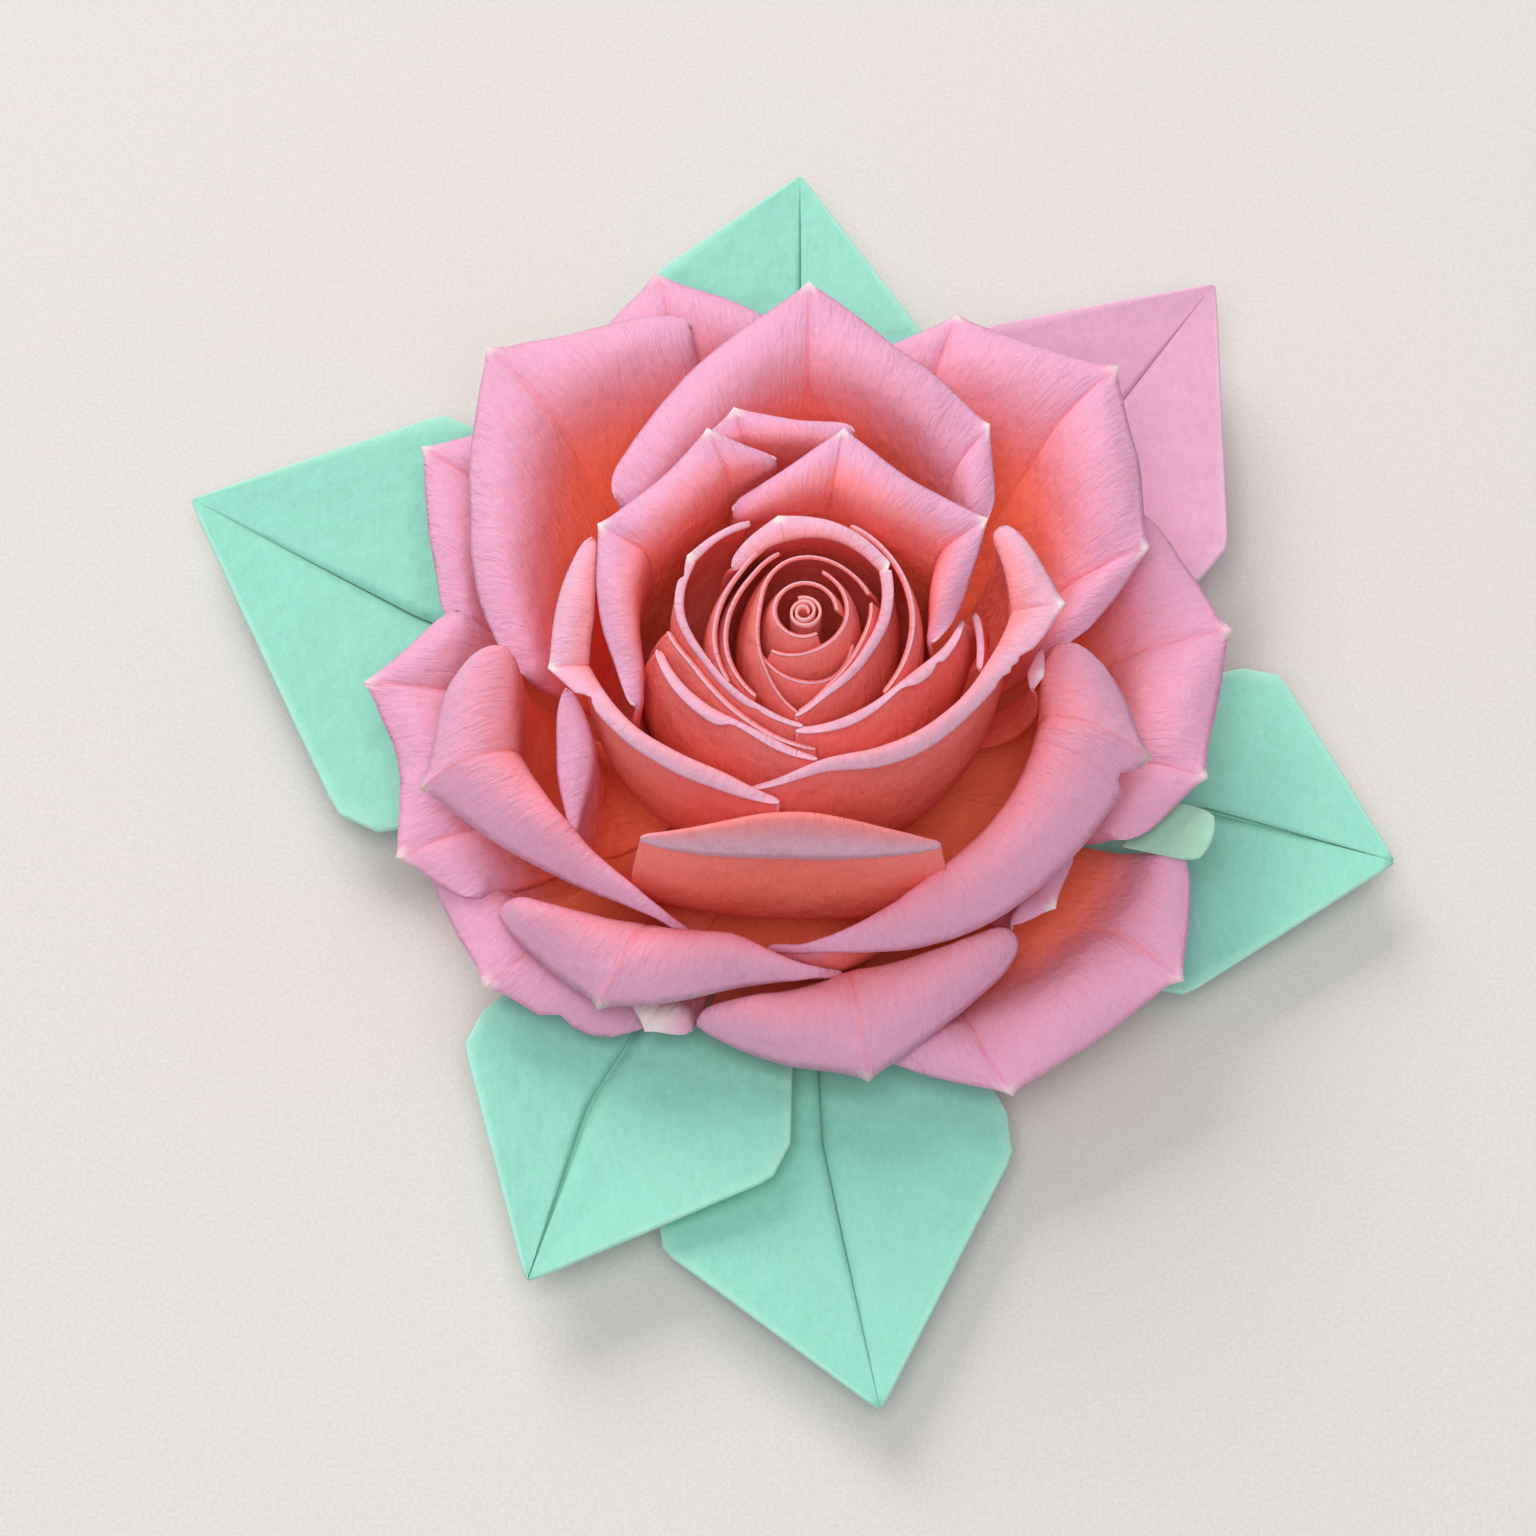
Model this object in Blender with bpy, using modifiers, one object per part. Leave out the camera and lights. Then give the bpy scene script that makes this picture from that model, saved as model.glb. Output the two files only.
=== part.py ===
"""Paper rose: cupped and curled card petals round a rolled core, on folded leaves.

Metres, +Z up. The origin is the middle of the base disc's underside, and the
flower's own axis is the Z axis. Sizes below are in millimetres and degrees.
Directions are counted anticlockwise from +X, seen from above.
"""
import math

import bmesh
import bpy
from mathutils import Vector

MM = 0.001
OBJECT_NAME = "paper_rose"

# Card and glue line
PAPER = 0.3
LEAF_CARD = 0.9
GAP = 0.3

# Base and core
BASE_RADIUS = 20.0
BASE_THICKNESS = 1.2
CORE_RADIUS = 2.3

# The roll at the heart of the bud
ROLL_HEIGHT = 20.0
ROLL_INNER_RADIUS = 0.5
ROLL_OUTER_RADIUS = 2.1
ROLL_TURNS = 2.3
ROLL_STEPS = 40

# Petals: their feet are glued to the core one under the other, this far apart, and
# the lowest one clears the leaves by this much
FOOT_STEP = 2 * PAPER
FOOT_CLEARANCE = 1.2
WALL_ROWS = 5
LIP_ROWS = 2
ROWS = WALL_ROWS + LIP_ROWS
COLUMN_ANGLE = 14.0

# Colours of the card, as red, green and blue in linear light
COLOURS = {
    "core": (0.62, 0.30, 0.22),
    "coral": (0.80, 0.12, 0.08),
    "pink": (0.78, 0.30, 0.38),
    "rose": (0.66, 0.30, 0.45),
    "mint": (0.18, 0.66, 0.46),
    "pale": (0.45, 0.70, 0.52),
}

# How a kind of petal is cupped and curled, in millimetres. lean: how far the wall
# swells out just under the curl. tip_rise and rise: how far the crest of the curl
# stands over the rim, at a corner and between two corners. droop: how far the rim
# sinks between two corners, and curl: how much further it curls there. flat: 0 for
# a rim that is round between its corners, 1 for one that is straight. spread: the
# share of the crest's radius that is added to the radius of the cup.
KINDS = {
    "heart": dict(lean=3.0, tip_rise=-0.2, rise=0.0, droop=0.0, flat=0.0, curl=0.0, spread=0.0),
    "bud": dict(lean=3.0, tip_rise=-0.4, rise=0.2, droop=0.2, flat=0.0, curl=0.0, spread=0.0),
    "wrap": dict(lean=3.0, tip_rise=-0.5, rise=0.6, droop=0.6, flat=0.0, curl=0.0, spread=0.0),
    "tucked": dict(lean=1.5, tip_rise=0.5, rise=7.0, droop=0.0, flat=0.7, curl=2.4, spread=0.0),
    "crown": dict(lean=0.0, tip_rise=-2.5, rise=0.8, droop=0.8, flat=1.1, curl=0.0, spread=0.3),
    "bloom": dict(lean=0.0, tip_rise=-2.0, rise=1.0, droop=1.5, flat=0.4, curl=0.0, spread=0.75),
    "curled": dict(lean=0.0, tip_rise=4.0, rise=5.0, droop=0.5, flat=0.0, curl=0.0, spread=1.15),
    "outer": dict(lean=0.0, tip_rise=-1.0, rise=0.8, droop=1.0, flat=0.5, curl=0.0, spread=0.8),
}

# One row for each petal, from the heart outwards, in the order of gluing: name,
# card, kind, radius of the cup, how far over the foot the cup's bottom is drawn
# towards, and the corners of the rim. A corner has its direction, radius and height
# over the core's top, and how far the rim curls outwards there.
PETALS = [
    ("heart_petal_1", "coral", "heart", 6.5, 7.1,
     [(0, 4.0, 20, 0.3), (180, 3.6, 19.5, 0.3), (300, 3.0, 19, 0.3)]),
    ("heart_petal_2", "coral", "heart", 8, 6.7,
     [(226, 5.6, 17.4, 0.3), (290, 4.6, 18.2, 0.3), (360, 5.2, 19, 0.3), (428, 5.9, 19.5, 0.3)]),
    ("heart_petal_3", "coral", "heart", 9.5, 6.3,
     [(215, 6.6, 16.5, 0.3), (292, 7.4, 15.2, 0.3), (335, 6.4, 16.2, 0.3)]),
    ("heart_petal_4", "coral", "heart", 11, 5.4,
     [(22, 8.4, 18, 0.3), (100, 7.2, 19.5, 0.3), (171, 5.4, 19, 0.3), (226, 7.2, 17, 0.3),
      (262, 10.4, 13.5, 0.3)]),
    ("heart_petal_5", "coral", "heart", 11, 5,
     [(267, 10.4, 14.2, 0.3), (292, 8.3, 16, 0.3), (332, 7.4, 17.4, 0.3), (374, 8.3, 18, 0.3)]),
    ("bud_petal_1", "coral", "heart", 13, 3.6,
     [(110, 8.7, 19, 0.4), (146, 8.0, 19, 0.4), (201, 9.9, 16.5, 0.4), (238, 10.8, 15.5, 0.4)]),
    ("bud_petal_2", "coral", "heart", 14, 2.2,
     [(118, 10.0, 19, 0.4), (147, 9.4, 19, 0.4), (195, 11, 16.8, 0.4), (220, 11.6, 16, 0.4)]),
    ("hood_petal", "coral", "bud", 15, 1.8,
     [(265, 11.6, 15.2, 0.6), (290, 9.6, 16.6, 0.8), (327, 9.0, 17.4, 1), (355, 9.9, 18.2, 1.2),
      (393, 12, 19, 1.6), (464, 12.4, 20.2, 2), (502, 11.2, 18, 0.6)]),
    ("bud_petal_3", "coral", "heart", 17, 0.4,
     [(318, 12.8, 15.5, 0.4), (372, 13.0, 17.5, 0.5), (425, 13.4, 18.2, 0.5)]),
    ("bud_petal_4", "coral", "bud", 19, -1,
     [(118, 14.0, 19, 0.8), (150, 15.6, 18.5, 1), (175, 15.2, 18, 1), (205, 12.8, 17, 0.6),
      (240, 12.6, 16.6, 0.6), (263, 13.2, 16.4, 0.6)]),
    ("crown_petal_right", "pink", "crown", 18, -2.4,
     [(355, 15.6, 14, 1.2), (378, 20.8, 15.5, 4), (392, 25.2, 17, 5), (439, 24.8, 19, 6),
      (478, 18.6, 15, 1.6)]),
    ("bud_petal_5", "coral", "bud", 25, -4.8,
     [(266, 14, 16, 0.8), (303, 14.8, 17, 1.4), (332, 15.8, 16.5, 1.6), (356, 18.3, 15, 1),
      (367, 19.2, 12.5, 0.6)]),
    ("bud_petal_6", "coral", "heart", 25.5, -5.7,
     [(184, 16.2, 16.6, 0.5), (205, 14.1, 16.3, 0.5), (235, 13.9, 15.8, 0.5), (275, 15.6, 14.6, 0.5)]),
    ("bud_petal_7", "coral", "bud", 26.5, -6.6,
     [(189, 17.9, 15, 1), (222, 16.8, 16, 1.4), (248, 16.2, 16, 1.4), (275, 17, 14.8, 0.6)]),
    ("bud_petal_8", "coral", "bud", 27, -7,
     [(350, 21.5, 12, 0.8), (371, 21.2, 11, 0.8)]),
    ("crown_petal_left", "pink", "crown", 22, -7.4,
     [(104, 25, 17.5, 3), (115, 26.8, 19, 5), (152, 27, 17, 5), (188, 23, 14, 3), (204, 22.6, 13, 1.6)]),
    ("crown_petal_rear", "pink", "crown", 25, -7.3,
     [(77, 28, 16, 3), (107, 29.2, 17, 2.6), (120, 29.2, 15, 2.4)]),
    ("wrap_petal_right", "coral", "wrap", 29, -10.2,
     [(252, 20.3, 11.8, 0.8), (276, 19, 16.2, 1.2), (300, 20.3, 15.5, 2), (342, 23.8, 15, 2.4),
      (366, 30.7, 15, 6), (391, 28.6, 14, 3)]),
    ("wrap_petal_left", "coral", "wrap", 30, -11.6,
     [(154, 29.5, 14, 4), (186, 30, 11, 4.4), (202, 26.2, 12.5, 2.5), (240, 22.6, 14, 2.2),
      (262, 21.8, 13, 1)]),
    ("wrap_petal_front", "coral", "tucked", 42, -14,
     [(232, 30.2, 8, 2), (298, 28.2, 9.3, 2)]),
    ("small_petal_right", "coral", "bud", 29, -8.4,
     [(344, 26.6, 6, 1), (351, 28.2, 9, 2), (363, 28.6, 8.5, 1)]),
    ("small_petal_left", "pink", "outer", 10, -9.8,
     [(188, 29.4, 7, 1.5), (213, 33.6, 3, 5), (222, 29.6, 0, 1)]),
    ("bloom_petal_top", "pink", "bloom", 8, -6.2,
     [(38, 29.5, 9, 3), (53, 36.5, 11, 5), (89, 46.8, 14, 8), (138, 32.2, 10, 5)]),
    ("bloom_petal_right", "pink", "bloom", 0, -7.6,
     [(7, 32.2, 2, 2), (21, 44.6, 4, 7), (46, 55.3, 6, 9), (68, 51.2, 5, 6), (78, 46, 2, 3)]),
    ("bloom_petal_left", "pink", "bloom", 0, -7,
     [(106, 52, 2.5, 5), (132, 57.2, 6, 9), (179, 35, 1.5, 3)]),
    ("curled_petal_right", "pink", "curled", 8, -9.4,
     [(272, 33.2, -3.5, 1), (300, 37, -2, 6.4), (333, 40.4, 2, 10), (344, 42.4, 4, 12),
      (361, 36, 5, 5)]),
    ("curled_petal_left", "pink", "curled", 0, -6.8,
     [(180, 41, 5, 3), (197, 47, 0, 10), (220, 38, -1.4, 4), (238, 34.4, -2, 1)]),
    ("small_petal_front", "pink", "outer", 10, -6.2,
     [(312, 37.6, -10, 1), (320, 39.2, -9, 3), (331, 38.4, -9, 2)]),
    ("curled_petal_lower_left", "pink", "curled", 0, -6.6,
     [(216, 46, -7.5, 3), (238, 45.4, -8, 9.6), (256, 38.4, -6.5, 5), (271, 36, -5, 1)]),
    ("curled_petal_front", "pink", "curled", 0, -6,
     [(252, 42, -11.6, 2), (279, 46.8, -11.5, 11), (310, 41, -7.5, 3)]),
    ("outer_petal_right", "pink", "outer", 0, -4.4,
     [(334, 43.8, -5.5, 4), (348, 49.4, -4.5, 8), (369, 52.6, -3, 9), (391, 49.5, -2.5, 5)]),
    ("outer_petal_left", "pink", "outer", 0, -3.8,
     [(165, 45, -2.5, 3), (178, 52.4, -4, 8), (190, 50, -5.5, 8), (202, 52, -7, 8), (212, 48, -8, 4)]),
    ("outer_petal_top", "pink", "outer", 0, -3.2,
     [(88, 48, -1, 3), (108, 59.6, 0, 8), (118, 55, -1.5, 4)]),
    ("outer_petal_upper_left", "pink", "outer", 0, -2.6,
     [(134, 52, -3, 3), (144, 58, -4, 7), (166, 45, -6, 3)]),
    ("small_petal_lower", "pink", "outer", 6, 0.5,
     [(237, 40.6, -11.4, 2), (245, 43.6, -12.4, 4), (251.4, 43.4, -13, 3)]),
    ("outer_petal_lower_left", "pink", "outer", 8, -0.4,
     [(197, 50, -10.5, 3), (223, 51.6, -10, 8), (239, 47, -14.4, 6), (245, 42, -16.4, 2)]),
    ("outer_petal_lower_right", "pink", "outer", 8, -0.3,
     [(280, 43, -14, 3), (297, 53.8, -12, 8), (323, 56.6, -10, 8), (338, 51, -8.5, 4)]),
]

# Folded leaves: name, card, how many leaves lie under its inner end, then direction,
# radius and height of the tip and of the two side corners
LEAVES = [
    ("leaf_top", "mint", 0, (90, 81.5, 9), (107, 66, 9), (78, 64, 9)),
    ("leaf_left", "mint", 0, (156, 84.7, 8), (192, 57, 8), (133, 64, 9)),
    ("leaf_lower_left", "mint", 1, (245, 76.7, 10), (268, 56, 10), (223, 56, 10)),
    ("leaf_lower", "mint", 0, (276, 84.7, 7), (297, 57, 7), (254, 66, 6.5)),
    ("leaf_right", "mint", 0, (348, 74.2, 8), (371, 60, 8), (323, 56, 8)),
    ("pink_leaf", "rose", 0, (50, 82.9, 12), (69, 61.5, 11), (24, 58.5, 11)),
]
LEAF_LAYERS = 1 + max(row[2] for row in LEAVES)
LEAF_INNER_RADIUS = 4.0
LEAF_INNER_WIDTH = 2.0
LEAF_ROWS = 8
LEAF_KINK = 0.625
LEAF_FOLD = 0.8

# A small tab of pale card, stuck on the corner of the lower right petal
TAB_RADIUS = 3.6
TAB_PLACE = (340.5, 48.8, 19.3)
TAB_TILT = 14.0
TAB_COLUMNS = 6

# The leaves lie in layers on the base, and the feet are stacked over them up the core
LEAF_STEP = LEAF_CARD + GAP
LOWEST_FOOT = BASE_THICKNESS + LEAF_LAYERS * LEAF_STEP + FOOT_CLEARANCE
CORE_TOP = LOWEST_FOOT + FOOT_STEP * len(PETALS)


def clear_scene():
    for old in list(bpy.data.objects):
        bpy.data.objects.remove(old, do_unlink=True)


def card_material(card):
    """Matt dyed card of one colour."""
    name = "card_" + card
    material = bpy.data.materials.get(name)
    if material is None:
        material = bpy.data.materials.new(name)
        material.use_nodes = True
        shader = material.node_tree.nodes["Principled BSDF"]
        shader.inputs["Base Color"].default_value = (*COLOURS[card], 1.0)
        shader.inputs["Roughness"].default_value = 0.8
        shader.inputs["Metallic"].default_value = 0.0
    return material


def polar(direction, radius, height):
    """A point in metres from a direction in degrees and two sizes in millimetres."""
    angle = math.radians(direction)
    return Vector((radius * math.cos(angle), radius * math.sin(angle), height)) * MM


def mix(first, second, share):
    return first + (second - first) * share


def mix_points(first, second, share):
    return tuple(mix(a, b, share) for a, b in zip(first, second))


def add_sheet(name, card, columns, rows, place, thickness):
    """A flat grid bent into place, then given the thickness of its card."""
    bm = bmesh.new()
    bmesh.ops.create_grid(bm, x_segments=columns, y_segments=rows, size=0.5)
    for vertex in bm.verts:
        across = round((vertex.co.x + 0.5) * columns)
        along = round((vertex.co.y + 0.5) * rows)
        vertex.co = place(across, along)
    mesh = bpy.data.meshes.new(name)
    bm.to_mesh(mesh)
    bm.free()
    mesh.shade_smooth()
    mesh.materials.append(card_material(card))
    sheet = bpy.data.objects.new(name, mesh)
    parts.objects.link(sheet)
    solid = sheet.modifiers.new("card", "SOLIDIFY")
    solid.thickness = thickness * MM
    solid.offset = 0.0


def bezier(points, share):
    """A point on the curve that a row of control points draws."""
    while len(points) > 1:
        points = [mix_points(a, b, share) for a, b in zip(points, points[1:])]
    return points[0]


def petal_profile(kind, between, belly, floor, foot, rim, lip):
    """The control points of the wall and of the curled lip, as radius and height."""
    radius, height = rim
    crest = (radius - lip, height + mix(kind["tip_rise"], kind["rise"], between))
    edge = (radius, height - kind["droop"] * between)
    curled = between if kind["tip_rise"] < 0 else 1.0
    over = (mix((crest[0] + edge[0]) / 2, crest[0] + 0.55 * lip, curled),
            mix((crest[1] + edge[1]) / 2, crest[1] + 0.25 * lip, curled))
    run = (over[0] - crest[0], over[1] - crest[1])
    neck = (0.5 * lip + 0.5) / math.hypot(*run)
    under = (crest[0] - run[0] * neck + kind["lean"], crest[1] - run[1] * neck - kind["lean"])
    swell = (belly + kind["spread"] * crest[0], floor)
    return [foot, swell, under, crest], [crest, over, edge]


def add_petal(order, name, card, kind_name, belly, rise, corners):
    """One petal between its foot on the core and its curled rim."""
    kind = KINDS[kind_name]
    foot = (CORE_RADIUS + GAP + PAPER / 2, CORE_TOP - FOOT_STEP * order)
    floor = foot[1] + rise
    stations = []
    for start, end in zip(corners, corners[1:]):
        span = end[0] - start[0]
        sagitta = kind["flat"] * (1 - math.cos(math.radians(span / 2)))
        steps = max(2, math.ceil(span / COLUMN_ANGLE))
        for step in range(steps):
            share = step / steps
            between = math.sin(math.pi * share)
            stations.append((mix_points(start, end, share), between, 1 - sagitta * between))
    stations.append((corners[-1], 0.0, 1.0))

    def place(across, along):
        (direction, radius, height, lip), between, flattened = stations[across]
        rim = (radius * flattened, CORE_TOP + height)
        curl = lip + kind["curl"] * between
        wall, over = petal_profile(kind, between ** 0.5, belly, floor, foot, rim, curl)
        if along <= WALL_ROWS:
            point = bezier(wall, along / WALL_ROWS)
        else:
            point = bezier(over, (along - WALL_ROWS) / LIP_ROWS)
        return polar(direction, *point)

    add_sheet(name, card, len(stations) - 1, ROWS, place, PAPER)


def add_leaf(name, card, layer, tip, left, right):
    """A square of card folded to a point, glued flat on the base at its inner end."""
    inner_height = BASE_THICKNESS + LEAF_STEP * layer + GAP + LEAF_CARD / 2
    hinge = polar(tip[0], LEAF_INNER_RADIUS, inner_height)
    aside = polar(tip[0] + 90, LEAF_INNER_WIDTH / 2, 0.0)
    point = polar(*tip)

    def edge(side, share):
        corner = polar(*(left if side > 0 else right))
        if share < LEAF_KINK:
            return (hinge + aside * side).lerp(corner, share / LEAF_KINK)
        return corner.lerp(point + aside * side * 0.2, (share - LEAF_KINK) / (1 - LEAF_KINK))

    def place(across, along):
        side = across / 2 - 1
        share = along / LEAF_ROWS
        spine = hinge.lerp(point, share)
        spine.z -= LEAF_FOLD * MM * math.sin(math.pi * share)
        if side == 0:
            return spine
        return spine.lerp(edge(side, share), abs(side))

    add_sheet(name, card, 4, LEAF_ROWS, place, LEAF_CARD)


def add_tab():
    """A small round tab: a square grid drawn out to a circle and tilted."""
    centre = polar(*TAB_PLACE)
    outwards = polar(TAB_PLACE[0], math.cos(math.radians(TAB_TILT)), math.sin(math.radians(TAB_TILT)))
    sideways = polar(TAB_PLACE[0] + 90, 1.0, 0.0)

    def place(across, along):
        a = 2 * across / TAB_COLUMNS - 1
        b = 2 * along / TAB_COLUMNS - 1
        return centre + TAB_RADIUS * (outwards * a * math.sqrt(1 - b * b / 2)
                                      + sideways * b * math.sqrt(1 - a * a / 2))

    add_sheet("leaf_tab", "pale", TAB_COLUMNS, TAB_COLUMNS, place, PAPER)


def add_roll():
    """The heart: a strip of card rolled up on itself."""
    def place(across, along):
        share = across / ROLL_STEPS
        radius = mix(ROLL_INNER_RADIUS, ROLL_OUTER_RADIUS, share)
        height = mix(CORE_TOP + GAP, CORE_TOP + ROLL_HEIGHT - 1.2 * abs(share - 0.4), along)
        return polar(360 * ROLL_TURNS * share, radius, height)

    add_sheet("centre_roll", "coral", ROLL_STEPS, 1, place, PAPER)


def add_cylinder(name, card, radius, bottom, top, sides):
    bpy.ops.mesh.primitive_cylinder_add(
        vertices=sides, radius=radius * MM, depth=(top - bottom) * MM,
        location=(0, 0, (top + bottom) / 2 * MM))
    piece = bpy.context.object
    piece.name = name
    piece.data.name = name
    piece.data.materials.append(card_material(card))
    for face in piece.data.polygons:
        face.use_smooth = len(face.vertices) == 4
    for collection in piece.users_collection:
        collection.objects.unlink(piece)
    parts.objects.link(piece)


clear_scene()
parts = bpy.data.collections.new(OBJECT_NAME)
bpy.context.scene.collection.children.link(parts)

add_cylinder("base_disc", "mint", BASE_RADIUS, 0.0, BASE_THICKNESS, 48)
add_cylinder("core_roll", "core", CORE_RADIUS, BASE_THICKNESS + GAP, CORE_TOP, 24)
add_roll()
for order, row in enumerate(PETALS, start=1):
    add_petal(order, *row)
for row in LEAVES:
    add_leaf(*row)
add_tab()
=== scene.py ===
# %% [markdown]
# # A paper rose
#
# The real object is a rose of dyed card, glued up petal by petal on a rolled core and
# laid on six folded leaves. It could be sculpted as one lump, but card only bends one
# way at a time and every rim shows its cut edge, so each petal is a sheet of its own.
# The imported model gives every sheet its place. This script gives each one its real
# curl, creases, torn notches, dye and grain.

# %% Load the frame
import math

import bmesh
import bpy
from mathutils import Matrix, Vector, noise


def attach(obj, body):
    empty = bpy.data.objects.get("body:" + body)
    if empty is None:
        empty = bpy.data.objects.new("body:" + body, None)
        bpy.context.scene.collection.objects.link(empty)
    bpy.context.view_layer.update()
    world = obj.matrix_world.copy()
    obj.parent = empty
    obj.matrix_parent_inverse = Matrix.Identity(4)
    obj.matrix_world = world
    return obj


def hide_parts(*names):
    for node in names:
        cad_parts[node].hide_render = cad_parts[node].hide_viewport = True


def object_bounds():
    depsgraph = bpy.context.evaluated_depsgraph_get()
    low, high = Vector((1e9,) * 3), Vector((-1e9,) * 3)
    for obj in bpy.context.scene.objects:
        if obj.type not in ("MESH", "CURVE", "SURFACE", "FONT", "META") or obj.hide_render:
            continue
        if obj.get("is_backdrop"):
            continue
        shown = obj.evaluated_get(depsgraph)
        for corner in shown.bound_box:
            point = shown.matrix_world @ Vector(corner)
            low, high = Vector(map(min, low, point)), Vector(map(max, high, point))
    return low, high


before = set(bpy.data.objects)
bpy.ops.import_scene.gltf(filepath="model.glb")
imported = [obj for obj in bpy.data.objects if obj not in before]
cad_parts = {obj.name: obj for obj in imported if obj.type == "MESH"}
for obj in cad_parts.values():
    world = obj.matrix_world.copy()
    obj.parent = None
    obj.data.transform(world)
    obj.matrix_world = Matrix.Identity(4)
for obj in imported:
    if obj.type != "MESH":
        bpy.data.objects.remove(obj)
CAD_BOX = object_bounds()
print("pieces in the frame:", len(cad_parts))

# %% [markdown]
# ## Where things are
#
# The flower's own axis is Z, and its petals stand round it like staves round a barrel.
# A point on a petal is therefore easiest to give as a direction, a radius and a height.
# Directions are degrees anticlockwise from +X and sizes are millimetres, and one
# function turns them into a place in metres.

# %% Directions and mixing
MM = 0.001
PAPER = 0.3
LEAF_CARD = 0.9
GAP = 0.3


def polar(direction, radius, height):
    angle = math.radians(direction)
    return Vector((radius * math.cos(angle), radius * math.sin(angle), height)) * MM


def mix(first, second, share):
    return first + (second - first) * share


def mix_points(first, second, share):
    return tuple(mix(a, b, share) for a, b in zip(first, second))


def fade(value, low, high):
    """0 below low, 1 above high and smooth between them."""
    share = min(max((value - low) / (high - low), 0.0), 1.0)
    return share * share * (3 - 2 * share)


def bezier(points, share):
    """A point on the curve that a row of control points draws."""
    while len(points) > 1:
        points = [mix_points(a, b, share) for a, b in zip(points, points[1:])]
    return points[0]


print("a test point:", polar(90, 10, 5))

# %% [markdown]
# ## Colours and nodes
#
# Colours are written as the hex values that a paint chart would give, which are sRGB,
# and Blender's shaders want linear light. One function turns one into the other. One
# more adds a node to a material with its settings and its links, so that each material
# below reads as a short list.

# %% Colour and node helpers
def linear(hex_colour):
    """An sRGB hex colour as linear red, green, blue and alpha."""
    values = []
    for start in (1, 3, 5):
        value = int(hex_colour[start:start + 2], 16) / 255
        values.append(value / 12.92 if value <= 0.04045 else ((value + 0.055) / 1.055) ** 2.4)
    return (*values, 1.0)


def add_node(tree, kind, settings=None, links=None):
    """A node with its properties and socket values set and its inputs linked."""
    node = tree.nodes.new(kind)
    for key, value in (settings or {}).items():
        if isinstance(key, str) and hasattr(node, key):
            setattr(node, key, value)
        else:
            node.inputs[key].default_value = value
    for key, socket in (links or {}).items():
        tree.links.new(socket, node.inputs[key])
    return node


def new_material(name):
    material = bpy.data.materials.new(name)
    material.use_nodes = True
    material.node_tree.nodes.clear()
    return material, material.node_tree


print("coral in linear light:", [round(value, 3) for value in linear("#F0665C")])

# %% [markdown]
# ## Dyed card for the petals
#
# The petals are cut from matt craft card of about 200 grams, and the dye is brushed on:
# dusty pink along the rims and coral towards the foot. Deep in the flower the walls take a
# deep colour, a stronger orange, which is partly that dye and partly painted glow: it
# stands in for the light that comes through the thin card and bounces between the petals
# in the crevices. Along each fold a darker coral line is painted as crease shade. Matt
# card is a rough dielectric, so its roughness is high and its IOR is that of cellulose.
# The dye and the painted light follow the petal and not the room, so the material reads
# an attribute that each petal carries: how strong the blush of the rim is, how deep in
# the flower the point lies, and how far the dye is rubbed off. A second one gives the
# place on the flat card. Three patterns give the surface its life. Fine wrinkles run from
# the rim towards the foot, less than a millimetre apart. Fibres less than half a
# millimetre long roughen the light, and a slow crumple 5 mm wide shows that hands have
# curled the card.

# %% Petal card
PER_MM = 1 / MM
WRINKLES_PER_MM = (1.25, 0.4, 1.0)
FIBRE_WIDTH = 0.42
CRUMPLE_WIDTH = 5.0
SPECKS = {"From Min": 0.3, "From Max": 0.7, "To Min": 0.93, "To Max": 1.05}
UNEVEN_DYE = 0.5
BARE_PULP = "#F8E6E6"
CARD_IOR = 1.47


def add_grain(tree, place, streak_height, fibre_height, crumple_height):
    """Streaks, fibres and crumple: the streak pattern, the fibre pattern, the normal."""
    stretched = add_node(tree, "ShaderNodeVectorMath",
                         {"operation": "MULTIPLY", 1: WRINKLES_PER_MM}, {0: place})
    streak = add_node(tree, "ShaderNodeTexNoise",
                      {"Scale": 1.0, "Detail": 3.0, "Roughness": 0.6, "Distortion": 0.5},
                      {"Vector": stretched.outputs["Vector"]})
    coords = add_node(tree, "ShaderNodeTexCoord")
    fibre = add_node(tree, "ShaderNodeTexNoise",
                     {"Scale": PER_MM / FIBRE_WIDTH, "Detail": 4.0, "Roughness": 0.7,
                      "Distortion": 0.6},
                     {"Vector": coords.outputs["Object"]})
    crumple = add_node(tree, "ShaderNodeTexNoise",
                       {"Scale": PER_MM / CRUMPLE_WIDTH, "Detail": 2.0, "Roughness": 0.5},
                       {"Vector": coords.outputs["Object"]})
    slow = add_node(tree, "ShaderNodeBump", {"Strength": 1.0, "Distance": crumple_height * MM},
                    {"Height": crumple.outputs["Fac"]})
    brushed = add_node(tree, "ShaderNodeBump", {"Strength": 1.0, "Distance": streak_height * MM},
                       {"Height": streak.outputs["Fac"], "Normal": slow.outputs["Normal"]})
    rough = add_node(tree, "ShaderNodeBump", {"Strength": 1.0, "Distance": fibre_height * MM},
                     {"Height": fibre.outputs["Fac"], "Normal": brushed.outputs["Normal"]})
    return streak.outputs["Fac"], fibre.outputs["Fac"], rough.outputs["Normal"]


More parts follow.
